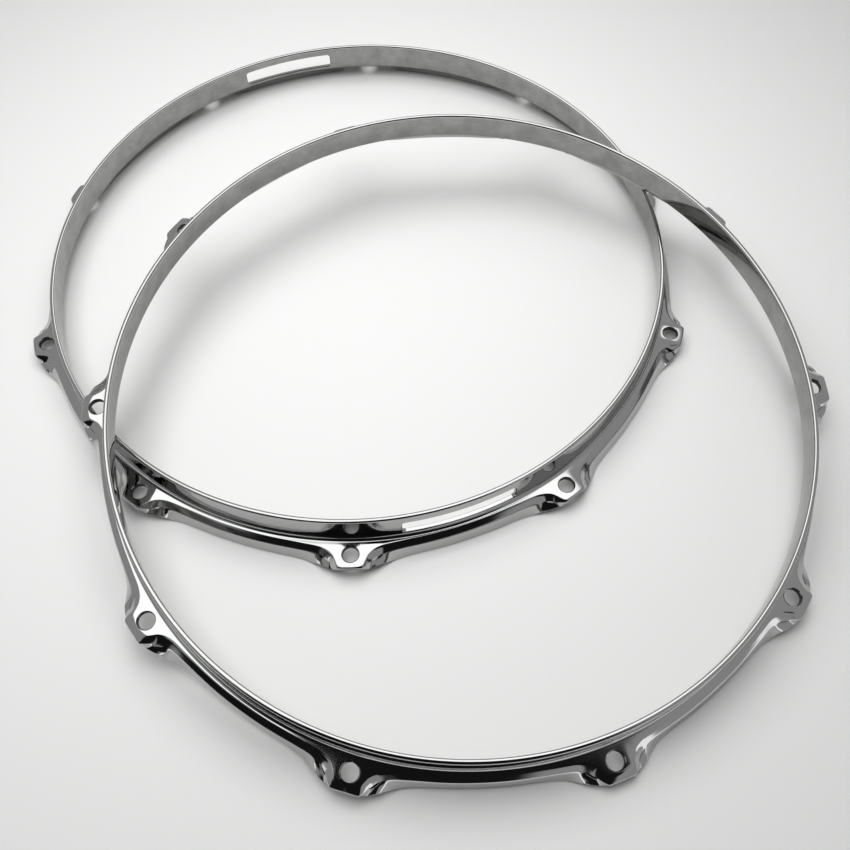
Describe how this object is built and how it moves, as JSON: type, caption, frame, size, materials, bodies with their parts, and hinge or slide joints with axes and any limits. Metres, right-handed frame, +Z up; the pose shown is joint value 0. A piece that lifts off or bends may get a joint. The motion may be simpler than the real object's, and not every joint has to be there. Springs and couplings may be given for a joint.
{
  "type": "drum hoop pair",
  "caption": "Matched pair of die-cast hoops for a snare drum: the snare side hoop, with gates in its rim, lies flat, and the batter side hoop leans loose across it.",
  "frame": {"origin": "middle of the pair's footprint, on the surface the pair lies on", "axes": "+Z up, +Y away from the viewer along the line on which the hoops are spread the most, +X to the viewer's right"},
  "size_m": [0.4466, 0.4998, 0.061],
  "materials": {
    "snare_side_chrome": "mirror-polished chrome plate outside, softer satin plate inside the rim",
    "batter_side_chrome": "mirror-polished chrome plate outside, softer satin plate inside the rim"
  },
  "bodies": {
    "snare_hoop": {"snare_side_hoop": "snare_side_chrome"},
    "batter_hoop": {"batter_side_hoop": "batter_side_chrome"}
  },
  "joints": [
    {"name": "batter_hoop_lift", "type": "slide", "parent": "snare_hoop", "child": "batter_hoop", "axis": [0, 0, 1], "range_m": [0, 0.12]}
  ]
}
